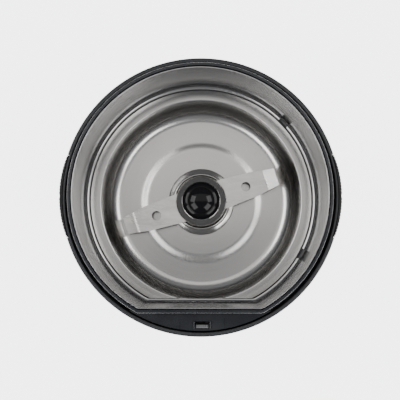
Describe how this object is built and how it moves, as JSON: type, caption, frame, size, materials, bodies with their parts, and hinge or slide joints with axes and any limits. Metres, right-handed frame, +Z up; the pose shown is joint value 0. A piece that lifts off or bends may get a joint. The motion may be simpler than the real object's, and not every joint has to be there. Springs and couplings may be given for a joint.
{
  "type": "blade coffee and spice grinder base",
  "caption": "Electric blade grinder base, lid off: round black housing, D-shaped collar, fixed steel bowl with a spinning flat blade, and a sprung lid interlock.",
  "frame": {"origin": "centre of the body, on the surface that its feet stand on", "axes": "+Z up along the blade's shaft, -Y towards the front, where the flat of the chamber and the lid interlock are"},
  "size_m": [0.108, 0.108, 0.13],
  "materials": {
    "black_satin": "satin black moulded plastic",
    "black_gloss": "glossy black plastic",
    "black_rubber": "matt black rubber",
    "steel_polished": "polished stainless steel",
    "steel_satin": "satin stainless steel",
    "steel_plated": "zinc plated steel",
    "lamination": "stacked electrical steel",
    "copper": "copper",
    "bronze": "sintered bronze",
    "carbon": "carbon",
    "grey_plastic": "grey plastic",
    "white_nylon": "white nylon",
    "blue_box": "blue epoxy case",
    "silicone": "silicone"
  },
  "bodies": {
    "body": {"housing": "black_satin", "grip_left": "black_rubber", "grip_right": "black_rubber", "top_deck": "black_gloss", "chamber_liner": "steel_polished", "bowl_seal": "silicone", "grinding_cup": "steel_satin", "bowl_carrier": "grey_plastic", "shaft_boss": "steel_polished", "boss_nut": "steel_plated", "shaft_seal": "black_rubber", "stator_core": "lamination", "field_coil_left": "copper", "field_coil_right": "copper", "upper_bracket": "steel_plated", "lower_bracket": "steel_plated", "upper_bearing": "bronze", "lower_bearing": "bronze", "brush_holder_front": "black_satin", "brush_holder_rear": "black_satin", "carbon_brush_front": "carbon", "carbon_brush_rear": "carbon", "brush_spring_front": "steel_plated", "brush_spring_rear": "steel_plated", "motor_bolt_left": "steel_plated", "motor_bolt_right": "steel_plated", "damper_1": "black_rubber", "damper_2": "black_rubber", "damper_3": "black_rubber", "damper_screw_1": "steel_plated", "damper_screw_2": "steel_plated", "damper_screw_3": "steel_plated", "interlock_spring": "steel_plated", "switch_body": "black_satin", "base_plate": "black_satin", "foot_1": "black_rubber", "foot_2": "black_rubber", "foot_3": "black_rubber", "foot_4": "black_rubber", "base_screw_1": "steel_plated", "base_screw_2": "steel_plated", "base_screw_3": "steel_plated", "cord_grommet": "black_rubber", "cord_clamp": "black_satin", "clamp_screw_left": "steel_plated", "clamp_screw_right": "steel_plated", "capacitor": "blue_box"},
    "rotor": {"motor_shaft": "steel_plated", "armature_core": "lamination", "winding_top": "copper", "winding_bottom": "copper", "commutator": "copper", "cooling_fan": "white_nylon", "blade_spacer": "steel_plated", "blade": "steel_satin", "hub_ring": "steel_polished", "blade_cap": "black_gloss"},
    "slider": {"interlock_slider": "grey_plastic"},
    "lever": {"switch_lever": "steel_plated"},
    "plunger": {"switch_plunger": "white_nylon"}
  },
  "joints": [
    {"name": "blade_spin", "type": "hinge", "parent": "body", "child": "rotor", "pos_m": [0, 0, 0.085], "axis": [0, 0, 1], "continuous": true},
    {"name": "interlock_press", "type": "slide", "parent": "body", "child": "slider", "axis": [0, 0, -1], "range_m": [0, 0.0025], "stiffness_N_per_m": 300, "springref_m": -0.002, "deforming": ["interlock_spring"]},
    {"name": "switch_lever_tilt", "type": "hinge", "parent": "body", "child": "lever", "pos_m": [-0.0051, -0.0454, 0.1069], "axis": [0, 1, 0], "range_deg": [0, 13.3]},
    {"name": "switch_plunger_press", "type": "slide", "parent": "body", "child": "plunger", "axis": [0, 0, -1], "range_m": [0, 0.0009]}
  ],
  "couplings": [
    {"joint": "switch_lever_tilt", "follows": "interlock_press", "rad_per_m": 92},
    {"joint": "switch_plunger_press", "follows": "interlock_press", "ratio": 0.34}
  ]
}
